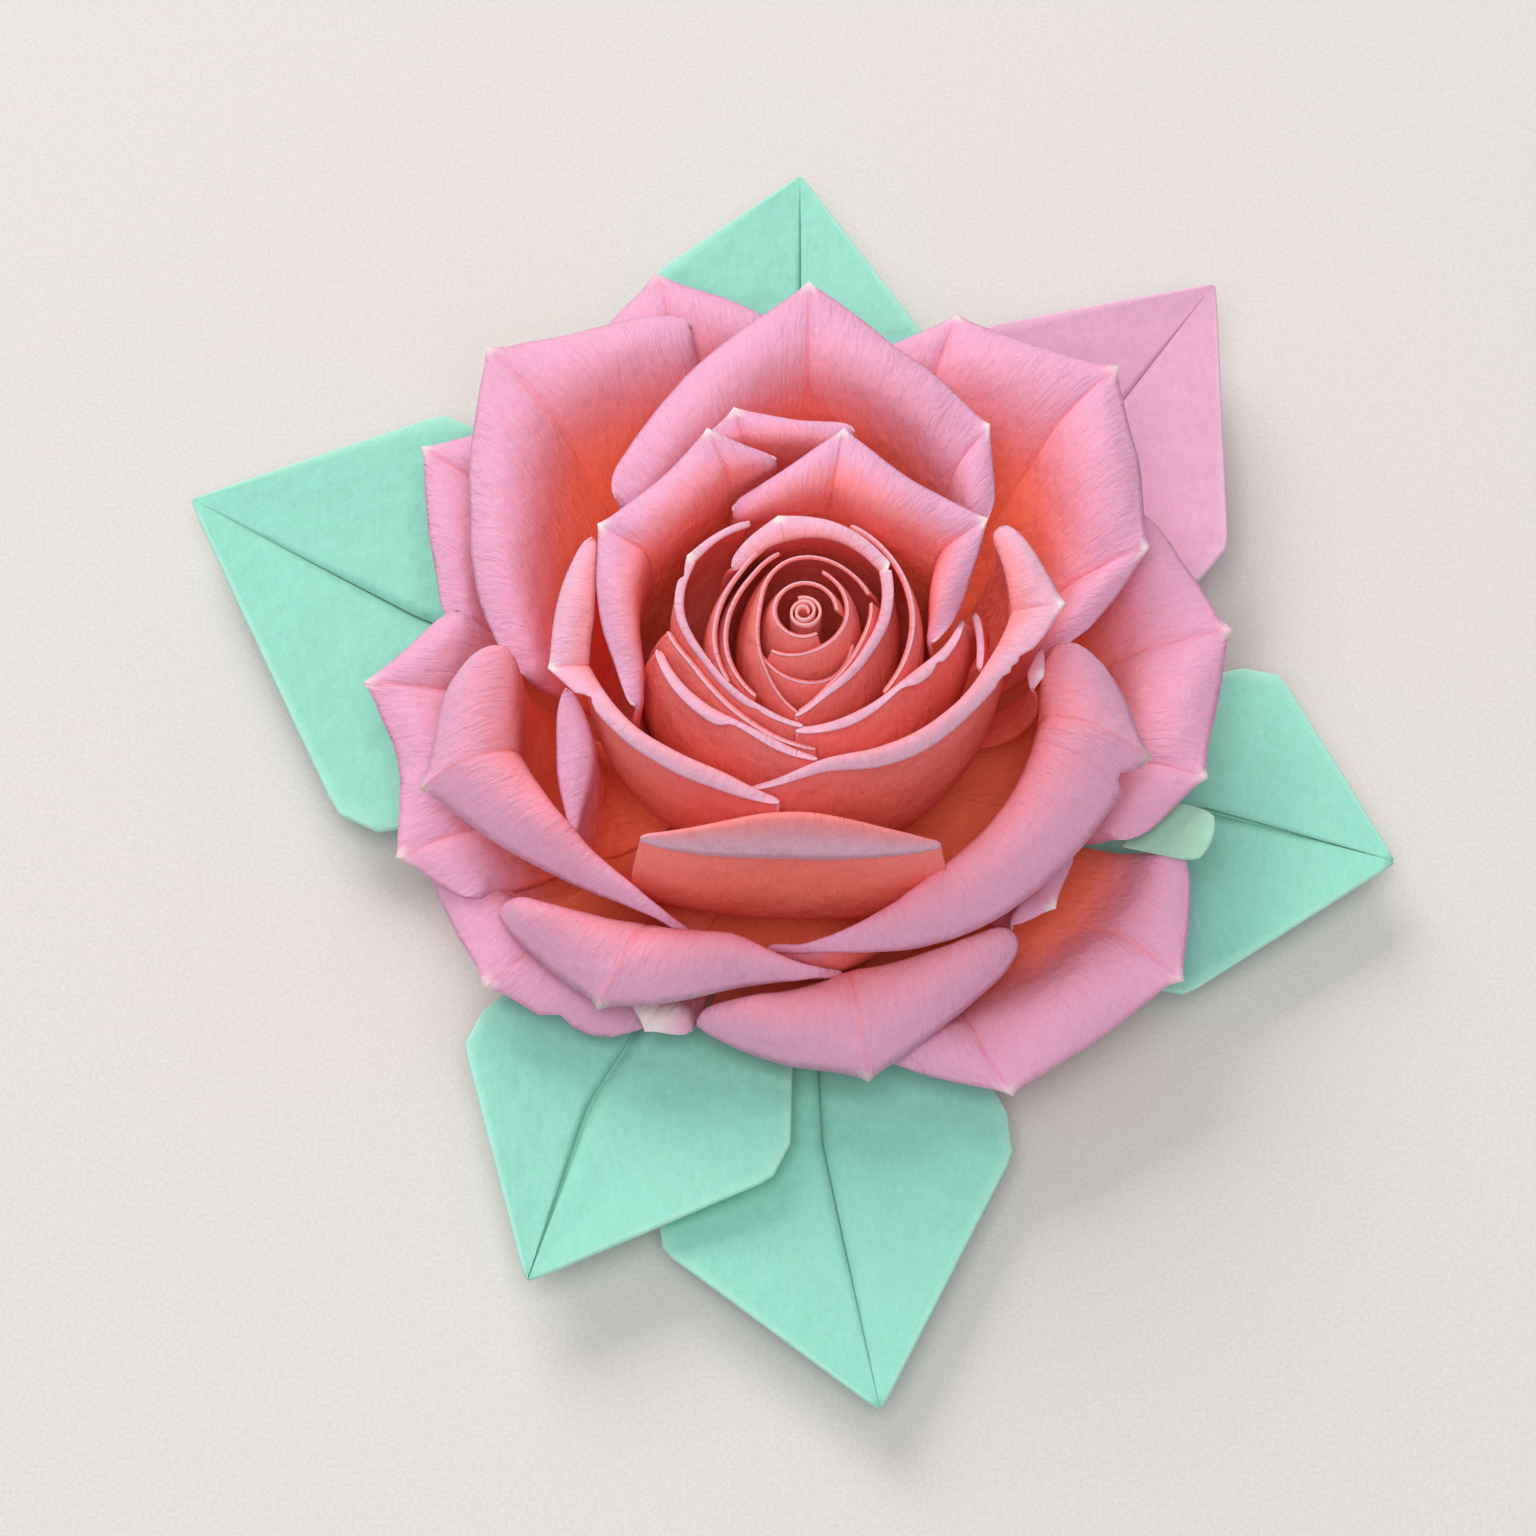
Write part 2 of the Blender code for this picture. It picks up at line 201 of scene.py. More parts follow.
def petal_card(name, rim, body, deep, glow):
    """Card with a blushed rim over a body colour that warms towards the foot.

    Glow is the share of the light that goes into the card and comes out again nearby. The
    deep colour is partly the dye and partly painted glow of the crevices.
    """
    material, tree = new_material(name)
    place = add_node(tree, "ShaderNodeAttribute", {"attribute_name": "card_place"})
    tint = add_node(tree, "ShaderNodeAttribute", {"attribute_name": "card_tint"})
    split = add_node(tree, "ShaderNodeSeparateXYZ", {}, {"Vector": tint.outputs["Vector"]})
    streak, fibre, normal = add_grain(tree, place.outputs["Vector"], streak_height=0.3,
                                      fibre_height=0.04, crumple_height=0.6)
    uneven = add_node(tree, "ShaderNodeMath",
                      {"operation": "MULTIPLY_ADD", 1: UNEVEN_DYE, 2: -UNEVEN_DYE / 2},
                      {0: streak})
    blush = add_node(tree, "ShaderNodeMath", {"operation": "ADD", "use_clamp": True},
                     {0: split.outputs["X"], 1: uneven.outputs["Value"]})
    depth = add_node(tree, "ShaderNodeMath", {"operation": "ADD", "use_clamp": True},
                     {0: split.outputs["Y"], 1: uneven.outputs["Value"]})
    warm = add_node(tree, "ShaderNodeMix",
                    {"data_type": "RGBA", 6: linear(body), 7: linear(deep)},
                    {0: depth.outputs["Value"]})
    dyed = add_node(tree, "ShaderNodeMix", {"data_type": "RGBA", 7: linear(rim)},
                    {0: blush.outputs["Value"], 6: warm.outputs[2]})
    speck = add_node(tree, "ShaderNodeMapRange", SPECKS, {"Value": fibre})
    rubbed = add_node(tree, "ShaderNodeMix", {"data_type": "RGBA", 7: linear(BARE_PULP)},
                      {0: split.outputs["Z"], 6: dyed.outputs[2]})
    mottled = add_node(tree, "ShaderNodeVectorMath", {"operation": "SCALE"},
                       {0: rubbed.outputs[2], "Scale": speck.outputs["Result"]})
    shader = add_node(tree, "ShaderNodeBsdfPrincipled",
                      {"Roughness": 0.78, "IOR": CARD_IOR, "Metallic": 0.0,
                       "Subsurface Weight": glow, "Subsurface Radius": (1.0, 0.36, 0.25),
                       "Subsurface Scale": 0.0012},
                      {"Base Color": mottled.outputs["Vector"], "Normal": normal})
    add_node(tree, "ShaderNodeOutputMaterial", {}, {"Surface": shader.outputs["BSDF"]})
    return material


# The deep colour is partly dye and partly painted glow that stands in for light coming through the
# card in the crevices.
CORAL_CARD = petal_card("coral_dyed_card", rim="#EBB0C9", body="#FF817E", deep="#FF7261",
                        glow=0.4)
PINK_CARD = petal_card("pink_dyed_card", rim="#E7A6C8", body="#F88286", deep="#FF7652",
                       glow=0.2)
print("petal cards:", CORAL_CARD.name, PINK_CARD.name)

# %% [markdown]
# ## The cut edge of the card
#
# The dye only colours the faces of the card. Where a blade or a tear has opened it, the
# paler pulp inside shows as a thin line, and that line is what makes the rims of a paper
# flower read as paper. Solidify can put a second material on the rim of each sheet. Down
# the sides of a petal the brush has wetted the edge too, so there the pulp is dyed.

# %% Cut edge
PULP_FIBRE_WIDTH = 0.45
CLOUD_WIDTH = 9.0


def plain_card(name, hex_colour, roughness, fibre_height, clouds=0.4, wetted=None):
    """One colour with mottled fibres and faint clouds.

    Where wetted names a second colour, it takes over where the petal has no blush.
    """
    material, tree = new_material(name)
    coords = add_node(tree, "ShaderNodeTexCoord")
    fibre = add_node(tree, "ShaderNodeTexNoise",
                     {"Scale": PER_MM / PULP_FIBRE_WIDTH, "Detail": 4.0, "Roughness": 0.7},
                     {"Vector": coords.outputs["Object"]})
    cloud = add_node(tree, "ShaderNodeTexNoise", {"Scale": PER_MM / CLOUD_WIDTH, "Detail": 2.0},
                     {"Vector": coords.outputs["Object"]})
    tone = add_node(tree, "ShaderNodeMix",
                    {"data_type": "FLOAT", 0: clouds},
                    {2: fibre.outputs["Fac"], 3: cloud.outputs["Fac"]})
    speck = add_node(tree, "ShaderNodeMapRange",
                     {"From Min": 0.3, "From Max": 0.7, "To Min": 0.9, "To Max": 1.06},
                     {"Value": tone.outputs[0]})
    mottled = add_node(tree, "ShaderNodeVectorMath",
                       {"operation": "SCALE", 0: linear(hex_colour)[:3]},
                       {"Scale": speck.outputs["Result"]})
    if wetted:
        tint = add_node(tree, "ShaderNodeAttribute", {"attribute_name": "card_tint"})
        split = add_node(tree, "ShaderNodeSeparateXYZ", {}, {"Vector": tint.outputs["Vector"]})
        pulp = add_node(tree, "ShaderNodeMix",
                        {"data_type": "RGBA", 6: linear(wetted), 7: linear(hex_colour)},
                        {0: split.outputs["X"]})
        tree.links.new(pulp.outputs[2], mottled.inputs[0])
    rough = add_node(tree, "ShaderNodeBump", {"Strength": 1.0, "Distance": fibre_height * MM},
                     {"Height": fibre.outputs["Fac"]})
    shader = add_node(tree, "ShaderNodeBsdfPrincipled",
                      {"Roughness": roughness, "IOR": CARD_IOR, "Metallic": 0.0},
                      {"Base Color": mottled.outputs["Vector"], "Normal": rough.outputs["Normal"]})
    add_node(tree, "ShaderNodeOutputMaterial", {}, {"Surface": shader.outputs["BSDF"]})
    return material


PINK_PULP = plain_card("cut_edge_pink_pulp", "#F6CBD8", 0.9, 0.03, wetted="#F2756B")
CORAL_PULP = plain_card("cut_edge_coral_pulp", "#F7ADA6", 0.9, 0.03, wetted="#F2695C")
MINT_PULP = plain_card("cut_edge_mint_pulp", "#BFE8DC", 0.9, 0.03)
print("cut edges:", PINK_PULP.name, MINT_PULP.name)

# %% [markdown]
# ## How a petal is curled
#
# A real petal is cut flat, cupped over a spoon and then rolled outwards along its rim.
# From the foot on the core the wall sweeps out and up to a crest, and from the crest the
# lip rolls over to the free edge. Seen in a plane through the flower's axis, the wall is
# one smooth curve and the lip is another. A petal is therefore a flat grid whose columns
# are bent into such planes one by one, which keeps every rim exactly where it should be.
# Each kind of petal has its own way of cupping: lean is how far the wall swells out under
# the curl, tip_rise and rise say how far the crest stands over the rim at a corner and
# between corners, droop lets the rim sink between corners, flat pulls it straight, curl
# widens the lip there, and spread carries the cup outwards with the crest.

# %% Kinds of petal
KINDS = {
    "heart": dict(lean=3.0, tip_rise=-0.2, rise=0.0, droop=0.0, flat=0.0, curl=0.0, spread=0.0),
    "bud": dict(lean=3.0, tip_rise=-0.4, rise=0.2, droop=0.2, flat=0.0, curl=0.0, spread=0.0),
    "wrap": dict(lean=3.0, tip_rise=-0.5, rise=0.6, droop=0.6, flat=0.0, curl=0.0, spread=0.0),
    "tucked": dict(lean=1.5, tip_rise=0.5, rise=7.0, droop=0.0, flat=0.7, curl=2.4, spread=0.0),
    "crown": dict(lean=0.0, tip_rise=-1.3, rise=0.6, droop=0.8, flat=1.1, curl=0.0, spread=0.3),
    "bloom": dict(lean=0.0, tip_rise=-1.0, rise=0.9, droop=1.1, flat=0.4, curl=0.0, spread=0.75),
    "curled": dict(lean=0.0, tip_rise=4.8, rise=5.0, droop=0.5, flat=0.0, curl=0.0, spread=1.15),
    "outer": dict(lean=0.0, tip_rise=-0.4, rise=0.6, droop=0.8, flat=0.5, curl=0.0, spread=0.8),
}

print("kinds of petal:", ", ".join(KINDS))

# %% [markdown]
# ## Every petal in the order of gluing
#
# Each row is one petal, from the heart outwards: its name, its card, its kind, the radius
# of its cup, how far over its foot the bottom of the cup is drawn, and the corners of its
# rim. A corner is a direction, a radius, a height over the core's top and the width of
# the lip there.

# %% Petal sizes
PETALS = [
    ("heart_petal_1", "coral", "heart", 6.5, 7.1,
     [(0, 4.0, 20, 0.3), (180, 3.6, 19.5, 0.3), (300, 3.0, 19, 0.3)]),
    ("heart_petal_2", "coral", "heart", 8, 6.7,
     [(226, 5.6, 17.4, 0.3), (290, 4.6, 18.2, 0.3), (360, 5.2, 19, 0.3), (428, 5.9, 19.5, 0.3)]),
    ("heart_petal_3", "coral", "heart", 9.5, 6.3,
     [(215, 6.6, 16.5, 0.3), (292, 7.4, 15.2, 0.3), (335, 6.4, 16.2, 0.3)]),
    ("heart_petal_4", "coral", "heart", 11, 5.4,
     [(22, 8.4, 18, 0.3), (100, 7.2, 19.5, 0.3), (171, 5.4, 19, 0.3), (226, 7.2, 17, 0.3),
      (266.5, 10.6, 13.9, 0.3)]),
    ("heart_petal_5", "coral", "heart", 11, 5,
     [(267, 10.4, 14.2, 0.3), (292, 8.3, 16, 0.3), (332, 7.4, 17.4, 0.3), (374, 8.3, 18, 0.3)]),
    ("bud_petal_1", "coral", "heart", 13, 3.6,
     [(110, 8.7, 19, 0.4), (146, 8.0, 19, 0.4), (201, 9.9, 16.5, 0.4), (238, 10.8, 15.5, 0.4)]),
    ("bud_petal_2", "coral", "heart", 14, 2.2,
     [(118, 10.0, 19, 0.4), (147, 9.4, 19, 0.4), (195, 11, 16.8, 0.4), (220, 11.6, 16, 0.4)]),
    ("hood_petal", "coral", "bud", 15, 1.8,
     [(265, 11.6, 15.2, 0.6), (290, 9.6, 16.6, 0.8), (327, 9.0, 17.4, 1), (355, 9.9, 18.2, 1.2),
      (393, 12, 19, 1.4), (464, 12.4, 20.2, 2.9), (502, 11.2, 18, 1.4)]),
    ("bud_petal_3", "coral", "heart", 17, 0.4,
     [(318, 12.8, 15.5, 0.4), (372, 13.0, 17.5, 0.5), (425, 13.4, 18.2, 0.5)]),
    ("bud_petal_4", "coral", "bud", 19, -1,
     [(118, 14.0, 19, 0.8), (150, 15.6, 18.5, 1), (175, 15.2, 18, 1), (205, 12.8, 17, 0.6),
      (240, 12.6, 16.6, 0.7), (269, 13.3, 16.0, 0.6)]),
    ("crown_petal_right", "pink", "crown", 18, -2.4,
     [(355, 15.6, 14, 1.2), (378, 20.8, 15.5, 4), (392, 25.2, 17, 5), (439, 24.8, 19, 6),
      (478, 18.6, 15, 1.6)]),
    ("bud_petal_5", "coral", "bud", 25, -4.8,
     [(266, 14, 16, 0.8), (303, 14.8, 17, 1.4), (332, 15.8, 16.5, 1.6), (356, 18.3, 15, 1),
      (367, 19.2, 12.5, 0.6)]),
    ("bud_petal_6", "coral", "heart", 25.5, -5.7,
     [(184, 16.2, 16.6, 0.5), (205, 14.1, 16.3, 0.5), (235, 13.9, 15.8, 0.5), (275, 15.6, 14.6, 0.5)]),
    ("bud_petal_7", "coral", "bud", 26.5, -6.6,
     [(189, 17.9, 15, 1), (222, 16.8, 16, 1.4), (248, 16.2, 16, 1.4), (275, 17, 14.8, 0.6)]),
    ("bud_petal_8", "coral", "bud", 27, -7,
     [(350, 21.5, 12, 0.8), (371, 21.2, 11, 0.8)]),
    ("crown_petal_left", "pink", "crown", 22, -7.4,
     [(98.5, 23, 15.8, 1), (115, 26.8, 19, 5), (152, 27, 17, 5),
      (188, 23, 14, 3), (204, 22.6, 13, 1.6)]),
    ("crown_petal_rear", "pink", "crown", 25, -7.3,
     [(77, 28, 16, 3), (106, 29.4, 17, 3), (116, 28.4, 15, 1.2)]),
    ("wrap_petal_right", "coral", "wrap", 29, -10.2,
     [(252, 20.3, 11.8, 0.8), (276, 19, 16.2, 1.2), (300, 20.3, 15.5, 2), (342, 23.8, 15, 2.4),
      (366, 30.7, 15, 6), (391, 28.6, 14, 3)]),
    ("wrap_petal_left", "coral", "wrap", 30, -11.6,
     [(154, 28.6, 14.8, 1.6), (170, 29.6, 13, 4.4), (186, 30, 11, 4.4),
      (202, 26.2, 12.5, 2.1), (240, 22.6, 14, 1.9),
      (262, 21.8, 13, 1)]),
    ("wrap_petal_front", "coral", "tucked", 42, -14,
     [(231, 30.6, 7.2, 0.5), (303, 29.4, 7.4, 0.4)]),
    ("small_petal_right", "coral", "bud", 29, -8.4,
     [(350.5, 27.8, 8.2, 0.7), (354, 28.6, 9.2, 2), (361, 28.6, 8.2, 0.7)]),
    ("small_petal_left", "pink", "outer", 10, -9.8,
     [(188, 29.4, 7, 1.5), (204, 32.4, 4.4, 4.4), (217.5, 34.4, 1.2, 0.5)]),
    ("bloom_petal_top", "pink", "bloom", 8, -6.2,
     [(38, 29.5, 9, 3), (53, 36.5, 11, 5), (89, 46.8, 14, 8), (138, 32.2, 10, 5)]),
    ("bloom_petal_right", "pink", "bloom", 0, -7.6,
     [(7, 32.2, 2, 2), (21, 44.6, 4, 7), (46, 55.3, 6, 9), (68, 51.2, 5, 6), (78, 46, 2, 3)]),
    ("bloom_petal_left", "pink", "bloom", 0, -7,
     [(106, 52, 2.5, 5), (132, 57.2, 6, 9), (179, 35, 1.5, 3)]),
    ("curled_petal_right", "pink", "curled", 8, -9.4,
     [(262, 32.2, -8, 0.8), (274, 33.4, -3.8, 1.2), (300, 37, -2, 6.4),
      (333, 40.4, 2, 10), (344, 42.4, 4, 12),
      (362, 36.4, 5.5, 8.5)]),
    ("curled_petal_left", "pink", "curled", 0, -6.8,
     [(178, 41.5, 5.5, 7.5), (197, 47, 0, 10), (220, 38, -1.4, 4),
      (238, 34.4, -2.2, 1.2), (246, 33.2, -7, 0.8)]),
    ("small_petal_front", "pink", "outer", 10, -6.2,
     [(312, 37.6, -10, 1), (320, 39.2, -9, 3), (331, 38.4, -9, 2)]),
    ("curled_petal_lower_left", "pink", "curled", 0, -6.6,
     [(216, 46, -7.5, 3), (238, 45.4, -8, 9.6), (256, 38.4, -6.5, 5),
      (271, 36, -5.2, 1.2), (278, 34.6, -10, 0.8)]),
    ("curled_petal_front", "pink", "curled", 0, -6,
     [(252, 42, -11.6, 2), (279, 46.8, -11.5, 11), (310, 41, -7.5, 3)]),
    ("outer_petal_right", "pink", "outer", 0, -4.4,
     [(334, 43.8, -5.5, 4), (348, 49.4, -4.5, 8), (369, 52.6, -3, 9), (391, 49.5, -2.5, 5)]),
    ("outer_petal_left", "pink", "outer", 0, -3.8,
     [(165, 45, -2.5, 3), (178, 52.4, -4, 8), (190, 50, -5.5, 8), (202, 52, -7, 8), (212, 48, -8, 4)]),
    ("outer_petal_top", "pink", "outer", 0, -3.2,
     [(88, 48, -1, 3), (108, 59.6, 0, 8), (118, 55, -1.5, 4)]),
    ("outer_petal_upper_left", "pink", "outer", 0, -2.6,
     [(134, 52, -3, 3), (144, 58, -4, 7), (166, 45, -6, 3)]),
    ("small_petal_lower", "pink", "outer", 6, 0.5,
     [(237, 40.6, -11.4, 2), (245, 43.6, -12.4, 4), (251.4, 43.4, -13, 3)]),
    ("outer_petal_lower_left", "pink", "outer", 8, -0.4,
     [(197, 50, -10.5, 3), (223, 51.6, -10, 8), (239, 47, -14.4, 6), (245, 42, -16.4, 2)]),
    ("outer_petal_lower_right", "pink", "outer", 8, -0.3,
     [(280, 43, -14, 3), (297, 53.8, -12, 8), (323, 56.6, -10, 8), (338, 51, -8.5, 4)]),
]

print("petals:", len(PETALS))

# %% [markdown]
# ## What the hands left behind
#
# No two rims are the same. A corner is pinched, so a crease runs from it down the wall.
# Some rims are torn, and the edge is drawn back there. The list gives, for each kind, how
# deep its creases are, how far a corner is drawn out to a nib, how far the blush reaches
# under the crest, how far the wall flares out under the lip and how much the sheet
# wavers, and then the directions in which a corner is a true fold, as the others are only
# bends of a smooth rim. Then come the torn places as a direction, a width in degrees and
# the share of the lip that is missing. Such a notch is steep on one side and runs out over
# the width on the other, and a negative width turns it round. The tips of the folds are
# rubbed bare of dye, most of them over less than a millimetre, and one low petal over three.
# All lengths are in mm. The heart's blush ends just short of the crest.

# %% Creases, blush and tears
CREASE = {"heart": 0.0, "bud": 0.15, "wrap": 0.2, "tucked": 0.0, "crown": 0.25, "bloom": 0.3,
          "curled": 0.3, "outer": 0.3}
NIB = {"heart": 0.0, "bud": 0.2, "wrap": 0.3, "tucked": 0.0, "crown": 0.4, "bloom": 0.6,
       "curled": 0.6, "outer": 0.7}
BLUSH = {"heart": -0.12, "bud": 1.0, "wrap": 1.6, "tucked": 1.0, "crown": 1.6, "bloom": 11.0,
         "curled": 5.0, "outer": 12.0}
FLARE = {"heart": 0.5, "bud": 0.5, "wrap": 0.6, "tucked": 0.5, "crown": 1.0, "bloom": 1.1,
         "curled": 0.5, "outer": 0.8}
WAVER = {"heart": 0.10, "bud": 0.16, "wrap": 0.25, "tucked": 0.2, "crown": 0.35, "bloom": 0.55,
         "curled": 0.5, "outer": 0.6}
FOLDS = {
    "hood_petal": (393, 464), "bud_petal_4": (150,), "crown_petal_right": (392, 439),
    "crown_petal_left": (115, 152), "crown_petal_rear": (106,), "wrap_petal_right": (366,),
    "wrap_petal_left": (186,), "small_petal_right": (354,), "bloom_petal_top": (53, 89),
    "bloom_petal_right": (21, 46, 68), "bloom_petal_left": (132,),
    "curled_petal_right": (344,), "curled_petal_left": (197,), "small_petal_front": (320,),
    "curled_petal_lower_left": (238,), "curled_petal_front": (279,),
    "outer_petal_right": (348, 369), "outer_petal_left": (178, 202), "outer_petal_top": (108,),
    "outer_petal_upper_left": (144,), "small_petal_lower": (245,),
    "outer_petal_lower_left": (223,), "outer_petal_lower_right": (297, 323),
}
TEARS = {
    "bud_petal_5": [(322, -22.0, 0.6), (342, -2.5, 0.35)],
    "bud_petal_7": [(238, 16.0, 0.6)],
    "bud_petal_4": [(160, -5.0, 0.5), (243, 3.0, 0.4)],
    "hood_petal": [(390, 2.5, 0.3)],
    "wrap_petal_right": [(353, -2.2, 0.2), (349, 0.9, 0.16), (345, -1.6, 0.24)],
    "wrap_petal_left": [(196, 3.0, 0.4)],
    "curled_petal_right": [(339, 2.0, 0.15)],
    "outer_petal_lower_left": [(232, 3.0, 0.2)],
}
BARE = {"small_petal_lower": 3.2}
BARE_TIP = 0.7
print("torn rims:", ", ".join(TEARS))

# %% [markdown]
# ## Bending a flat grid into a petal
#
# The columns stand closer together at the corners, where the rim turns sharply. Each
# point also wavers a little. Most of the waver is read from one slow noise that fills the
# whole flower, so neighbours waver together, as they would when they lie on one another,
# and a quick and smaller one is each petal's own. Its seed is set, as otherwise Blender
# would draw another waver each time. Once a column is bent, the way along it from the
# free edge is measured in millimetres and kept on its points for the material.
#
# The named values say how card behaves in general. Lengths are in mm, and a share is a
# share of the lip unless its comment says otherwise.

# %% Petal builder
CORE_RADIUS = 2.3
BASE_THICKNESS = 1.2
LEAF_LAYERS = 2
FOOT_STEP = 2 * PAPER
FOOT_CLEARANCE = 1.2
LOWEST_FOOT = BASE_THICKNESS + LEAF_LAYERS * (LEAF_CARD + GAP) + FOOT_CLEARANCE
CORE_TOP = LOWEST_FOOT + FOOT_STEP * len(PETALS)
WALL_ROWS = 20
LIP_ROWS = 10
COLUMN_ANGLE = 1.7
COLUMN_CROWDING = 0.1
FULL_ROLL = 5           # a lip this wide is rolled up to its full height
SHOULDER_OUT = 0.55     # where the lip is roundest, as shares outwards and upwards
SHOULDER_UP = 0.25
CORNER_CURL = 0.35      # how much of the lip's roundness is left at a corner
NECK = 0.5              # the straight stretch under the narrowest lip
FULL_PUFF = 12          # a stretch between folds this long puffs up fully
PUFF_POWER = 0.8        # a power below 1, so that it puffs up early
FAR_OFF = 99.0          # stands for no fold in reach
WAVER_SEED = 5

noise.seed_set(WAVER_SEED)


def petal_profile(kind, between, belly, floor, foot, rim, lip, flare):
    """The control points of the wall and of the rolled lip, as radius and height."""
    radius, height = rim
    rolled = min(lip / FULL_ROLL, 1.0) if kind["tip_rise"] > 1 else 1.0
    crest = (radius - lip, height + rolled * mix(kind["tip_rise"], kind["rise"], between))
    edge = (radius, height - kind["droop"] * between)
    curled = mix(CORNER_CURL, 1.0, between) if kind["tip_rise"] < 0 else 1.0
    over = (mix((crest[0] + edge[0]) / 2, crest[0] + SHOULDER_OUT * lip, curled),
            mix((crest[1] + edge[1]) / 2, crest[1] + SHOULDER_UP * lip, curled))
    run = (over[0] - crest[0], over[1] - crest[1])
    neck = (flare * lip + NECK) / math.hypot(*run)
    under = (crest[0] - run[0] * neck + kind["lean"], crest[1] - run[1] * neck - kind["lean"])
    swell = (belly + kind["spread"] * crest[0], floor)
    return [foot, swell, under, crest], [crest, over, edge]


def along_rim(corners, direction):
    """The corner values where the smooth rim through the corners has this direction."""
    slopes = []
    for index in range(len(corners)):
        before, after = corners[max(index - 1, 0)], corners[min(index + 1, len(corners) - 1)]
        slopes.append([(b - a) / (after[0] - before[0]) for a, b in zip(before, after)])
    index = 0
    while index < len(corners) - 2 and direction > corners[index + 1][0]:
        index += 1
    start, end = corners[index], corners[index + 1]
    run = end[0] - start[0]
    share = (direction - start[0]) / run
    leave, arrive = share * (1 - share) ** 2 * run, share * share * (share - 1) * run
    turn = share * share * (3 - 2 * share)
    return tuple(a + (b - a) * turn + leave * s + arrive * t
                 for a, b, s, t in zip(start, end, slopes[index], slopes[index + 1]))


def rim_stations(kind, corners, folds):
    """Where the columns stand, as five values for each of them.

    They are the corner values, how fully the column stands between two folds, how far the
    rim is pulled straight, and the mm to the nearest fold and to the petal's nearer end,
    where the lip runs out. A short stretch between folds puffs up less than a long one.
    """
    stations = []
    last = len(corners) - 1
    turns = [index for index, corner in enumerate(corners)
             if index in (0, last) or corner[0] in folds]
    for start, end in zip(turns, turns[1:]):
        stretch = corners[start:end + 1]
        span = stretch[-1][0] - stretch[0][0]
        sagitta = kind["flat"] * (1 - math.cos(math.radians(span / 2))) if end == start + 1 else 0
        steps = max(6, math.ceil(span / COLUMN_ANGLE))
        for step in range(steps):
            even = step / steps
            share = even - COLUMN_CROWDING * math.sin(2 * math.pi * even)
            here = along_rim(stretch, stretch[0][0] + span * share)
            arc = math.radians(span) * here[1]
            between = math.sin(math.pi * share)
            near_start = share * arc if start > 0 else FAR_OFF
            near_end = (1 - share) * arc if end < last else FAR_OFF
            stations.append([here, between * min(arc / FULL_PUFF, 1.0), 1 - sagitta * between,
                             min(near_start, near_end)])
    stations.append([corners[-1], 0.0, 1.0, FAR_OFF])
    run = 0.0
    runs = [0.0]
    for before, after in zip(stations, stations[1:]):
        run += math.radians(after[0][0] - before[0][0]) * after[0][1]
        runs.append(run)
    return [(*station, min(near, run - near)) for station, near in zip(stations, runs)]


END_LENGTH = 0.4        # the lip runs out over this length and this share
END_SHARE = 0.7
END_LOSS = 0.88         # share of the lip that is gone at the very end
END_DRAWN_IN = 0.45     # share of that loss by which the rim draws in
NIB_REACH = 1.5         # how far from a fold its nib is felt
NIB_SINK = 0.4          # share of the nib by which the rim draws in between folds
FOLD_REACH = 0.9        # how far from a fold its crease is felt
FOLD_SAG = 0.6          # how far a crease sinks, as a share of how far it comes out
TEAR_STEEPNESS = 16
FREE_WALL = 0.35        # share of the wall's height from which the card is free to waver
SLOW_WAVE = 11
QUICK_WAVE = 3.5
QUICK_SHARE = 0.3       # the quick waves' height, as a share of the slow ones'


def bend_column(order, name, kind_name, belly, rise, station):
    """The points of one column of a petal, from its foot to its free edge."""
    kind = KINDS[kind_name]
    (direction, radius, height, lip), between, flattened, pinch, ending = station
    turned = 1 - min(ending / (END_LENGTH + END_SHARE * lip), 1.0)
    cut = END_LOSS * lip * (1 - math.sqrt(1 - turned * turned))
    lip -= cut
    radius -= END_DRAWN_IN * cut
    nib = NIB[kind_name] * (math.exp(-pinch / NIB_REACH) - NIB_SINK)
    radius += nib
    lip += nib
    foot = (CORE_RADIUS + GAP + PAPER / 2, CORE_TOP - FOOT_STEP * order)
    rim = (radius * flattened, CORE_TOP + height)
    wall, over = petal_profile(kind, between ** PUFF_POWER, belly, foot[1] + rise, foot, rim,
                               lip + kind["curl"] * between, FLARE[kind_name])
    reach = 1.0
    for torn, width, depth in TEARS.get(name, ()):
        past = (direction - torn) / width
        reach -= depth * math.exp(-past * past * (1 if past > 0 else TEAR_STEEPNESS))
    points = []
    for row in range(WALL_ROWS + LIP_ROWS + 1):
        if row <= WALL_ROWS:
            point = bezier(wall, row / WALL_ROWS)
        else:
            point = bezier(over, reach * (row - WALL_ROWS) / LIP_ROWS)
        free = fade(row, FREE_WALL * WALL_ROWS, WALL_ROWS)
        fold = CREASE[kind_name] * free * math.exp(-pinch / FOLD_REACH)
        place = polar(direction, point[0] + fold, point[1] - FOLD_SAG * fold)
        slow = noise.noise_vector(place * (PER_MM / SLOW_WAVE))
        quick = noise.noise_vector(place * (PER_MM / QUICK_WAVE) + Vector((order, 0, 0)))
        points.append(place + (slow + QUICK_SHARE * quick) * (WAVER[kind_name] * free * MM))
    return points


def place_on_card(points):
    """For each point of a column, its way along the card from the free edge, in mm."""
    ways = [0.0]
    for upper, lower in zip(points[::-1], points[-2::-1]):
        ways.append(ways[-1] + (upper - lower).length / MM)
    return ways[::-1]


